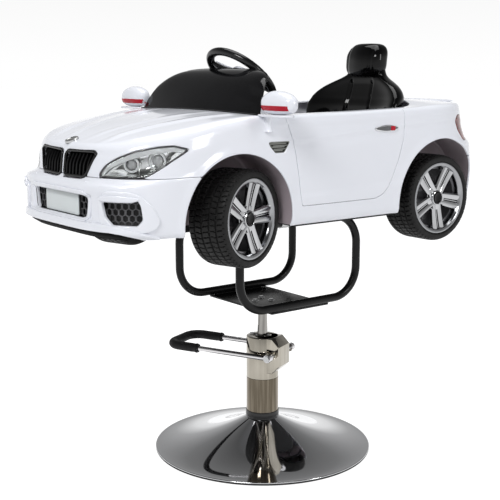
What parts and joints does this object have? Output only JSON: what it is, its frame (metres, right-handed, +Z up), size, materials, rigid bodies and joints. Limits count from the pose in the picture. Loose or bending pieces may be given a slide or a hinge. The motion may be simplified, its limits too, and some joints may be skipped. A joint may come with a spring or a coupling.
{
  "type": "children's car-shaped barber chair",
  "caption": "Children's barber chair: a jointed white toy car with opening doors, steering and turning wheels, carried by a tubular cradle on a hydraulic pump base.",
  "frame": {"origin": "on the floor at the axis of the pump column", "axes": "+Z up, -Y towards the front of the car, +X towards the car's left side"},
  "size_m": [0.752, 1.204, 1.098],
  "materials": {
    "chrome_disc": "polished",
    "column_chrome": "polished",
    "head_metal": "satin plated casting",
    "steel_plain": "zinc plated",
    "ram_steel": "ground and plated",
    "grip_rubber": "matt",
    "foot_rubber": "matt",
    "black_enamel": "gloss black enamel",
    "ballast_steel": "plain plate",
    "body_white": "gloss",
    "trim_black": "fine grain",
    "gloss_black": "gloss",
    "seat_black": "gloss",
    "screen_black": "dark gloss",
    "lens_clear": "clear",
    "bowl_bright": "vacuum plated",
    "grille_black": "gloss",
    "plate_pale": "satin",
    "lens_red": "translucent gloss",
    "liner_grey": "matt",
    "tyre_black": "matt",
    "rim_silver": "silver lacquer",
    "wheel_black": "satin"
  },
  "bodies": {
    "base": {"base_disc": "chrome_disc", "foot_ring": "foot_rubber", "ballast_plate": "ballast_steel", "pump_column": "column_chrome", "column_collar": "grip_rubber", "oil_cylinder": "steel_plain", "pump_head": "head_metal", "filler_plug": "steel_plain", "wiper_seal": "grip_rubber"},
    "piston": {"ram_piston": "steel_plain"},
    "lever": {"pump_lever": "column_chrome", "lever_grip": "grip_rubber", "lever_shaft": "steel_plain"},
    "steering_wheel": {"steering_wheel": "wheel_black"},
    "tie_rod": {"tie_rod": "steel_plain"},
    "knuckle_left": {"knuckle_left": "steel_plain"},
    "knuckle_right": {"knuckle_right": "steel_plain"},
    "wheel_front_left": {"tyre_front_left": "tyre_black", "rim_front_left": "rim_silver"},
    "wheel_front_right": {"tyre_front_right": "tyre_black", "rim_front_right": "rim_silver"},
    "wheel_rear_left": {"tyre_rear_left": "tyre_black", "rim_rear_left": "rim_silver"},
    "wheel_rear_right": {"tyre_rear_right": "tyre_black", "rim_rear_right": "rim_silver"},
    "door_left": {"door_left": "body_white", "door_fittings_left": "bowl_bright"},
    "door_right": {"door_right": "body_white", "door_fittings_right": "bowl_bright"},
    "car": {"pump_ram": "ram_steel", "ram_socket": "black_enamel", "cradle_plate": "black_enamel", "plate_bolts": "steel_plain", "cradle_left": "black_enamel", "cradle_right": "black_enamel", "frame_clamps": "steel_plain", "floor_pan": "trim_black", "body_shell": "body_white", "front_bumper": "body_white", "rear_bumper": "body_white", "boot_lid": "body_white", "front_splitter": "gloss_black", "windscreen": "screen_black", "scuttle_trim": "trim_black", "dashboard": "trim_black", "steering_column": "trim_black", "seat": "seat_black", "headlight_left": "lens_clear", "headlight_right": "lens_clear", "headlight_bowls": "bowl_bright", "front_grilles": "grille_black", "bumper_meshes": "grille_black", "number_plate": "plate_pale", "side_vents": "trim_black", "tail_lights": "lens_red", "arch_liners": "liner_grey", "mirrors": "body_white", "front_axle": "steel_plain", "rear_axle": "steel_plain", "door_hinges": "steel_plain"}
  },
  "joints": [
    {"name": "lift", "type": "slide", "parent": "base", "child": "piston", "axis": [0, 0, 1], "range_m": [0, 0.15]},
    {"name": "swivel", "type": "hinge", "parent": "piston", "child": "car", "pos_m": [0, 0, 0.313], "axis": [0, 0, 1], "continuous": true},
    {"name": "pump_stroke", "type": "hinge", "parent": "base", "child": "lever", "pos_m": [0.04761, 0.0209, 0.27], "axis": [0.4019, -0.9157, 0], "range_deg": [0, 22], "stiffness_Nm_per_rad": 16, "springref_deg": -28.65},
    {"name": "steering", "type": "hinge", "parent": "car", "child": "steering_wheel", "pos_m": [0, -0.071, 1.009], "axis": [0, 0.6691, 0.7431], "range_deg": [-75.6, 8.4]},
    {"name": "steer_left", "type": "hinge", "parent": "car", "child": "knuckle_left", "pos_m": [0.145, -0.278, 0.685], "axis": [0, 0, 1], "range_deg": [-37.8, 4.2]},
    {"name": "steer_right", "type": "hinge", "parent": "car", "child": "knuckle_right", "pos_m": [-0.145, -0.278, 0.685], "axis": [0, 0, 1], "range_deg": [-37.8, 4.2]},
    {"name": "tie_rod_slide", "type": "slide", "parent": "car", "child": "tie_rod", "axis": [1, 0, 0], "range_m": [-0.0235, 0.0027]},
    {"name": "spin_front_left", "type": "hinge", "parent": "knuckle_left", "child": "wheel_front_left", "pos_m": [0.145, -0.278, 0.685], "axis": [0.9573, 0.289, 0], "continuous": true},
    {"name": "spin_front_right", "type": "hinge", "parent": "knuckle_right", "child": "wheel_front_right", "pos_m": [-0.145, -0.278, 0.685], "axis": [0.9573, 0.289, 0], "continuous": true},
    {"name": "spin_rear_left", "type": "hinge", "parent": "car", "child": "wheel_rear_left", "pos_m": [0.21, 0.398, 0.685], "axis": [1, 0, 0], "continuous": true},
    {"name": "spin_rear_right", "type": "hinge", "parent": "car", "child": "wheel_rear_right", "pos_m": [-0.21, 0.398, 0.685], "axis": [1, 0, 0], "continuous": true},
    {"name": "door_left_swing", "type": "hinge", "parent": "car", "child": "door_left", "pos_m": [0.265, -0.104, 0.823], "axis": [0, 0, -1], "range_deg": [0, 55]},
    {"name": "door_right_swing", "type": "hinge", "parent": "car", "child": "door_right", "pos_m": [-0.265, -0.104, 0.823], "axis": [0, 0, 1], "range_deg": [0, 55]}
  ],
  "couplings": [
    {"joint": "steer_left", "follows": "steering", "ratio": 0.5},
    {"joint": "steer_right", "follows": "steering", "ratio": 0.5},
    {"joint": "tie_rod_slide", "follows": "steering", "m_per_rad": 0.0176}
  ]
}
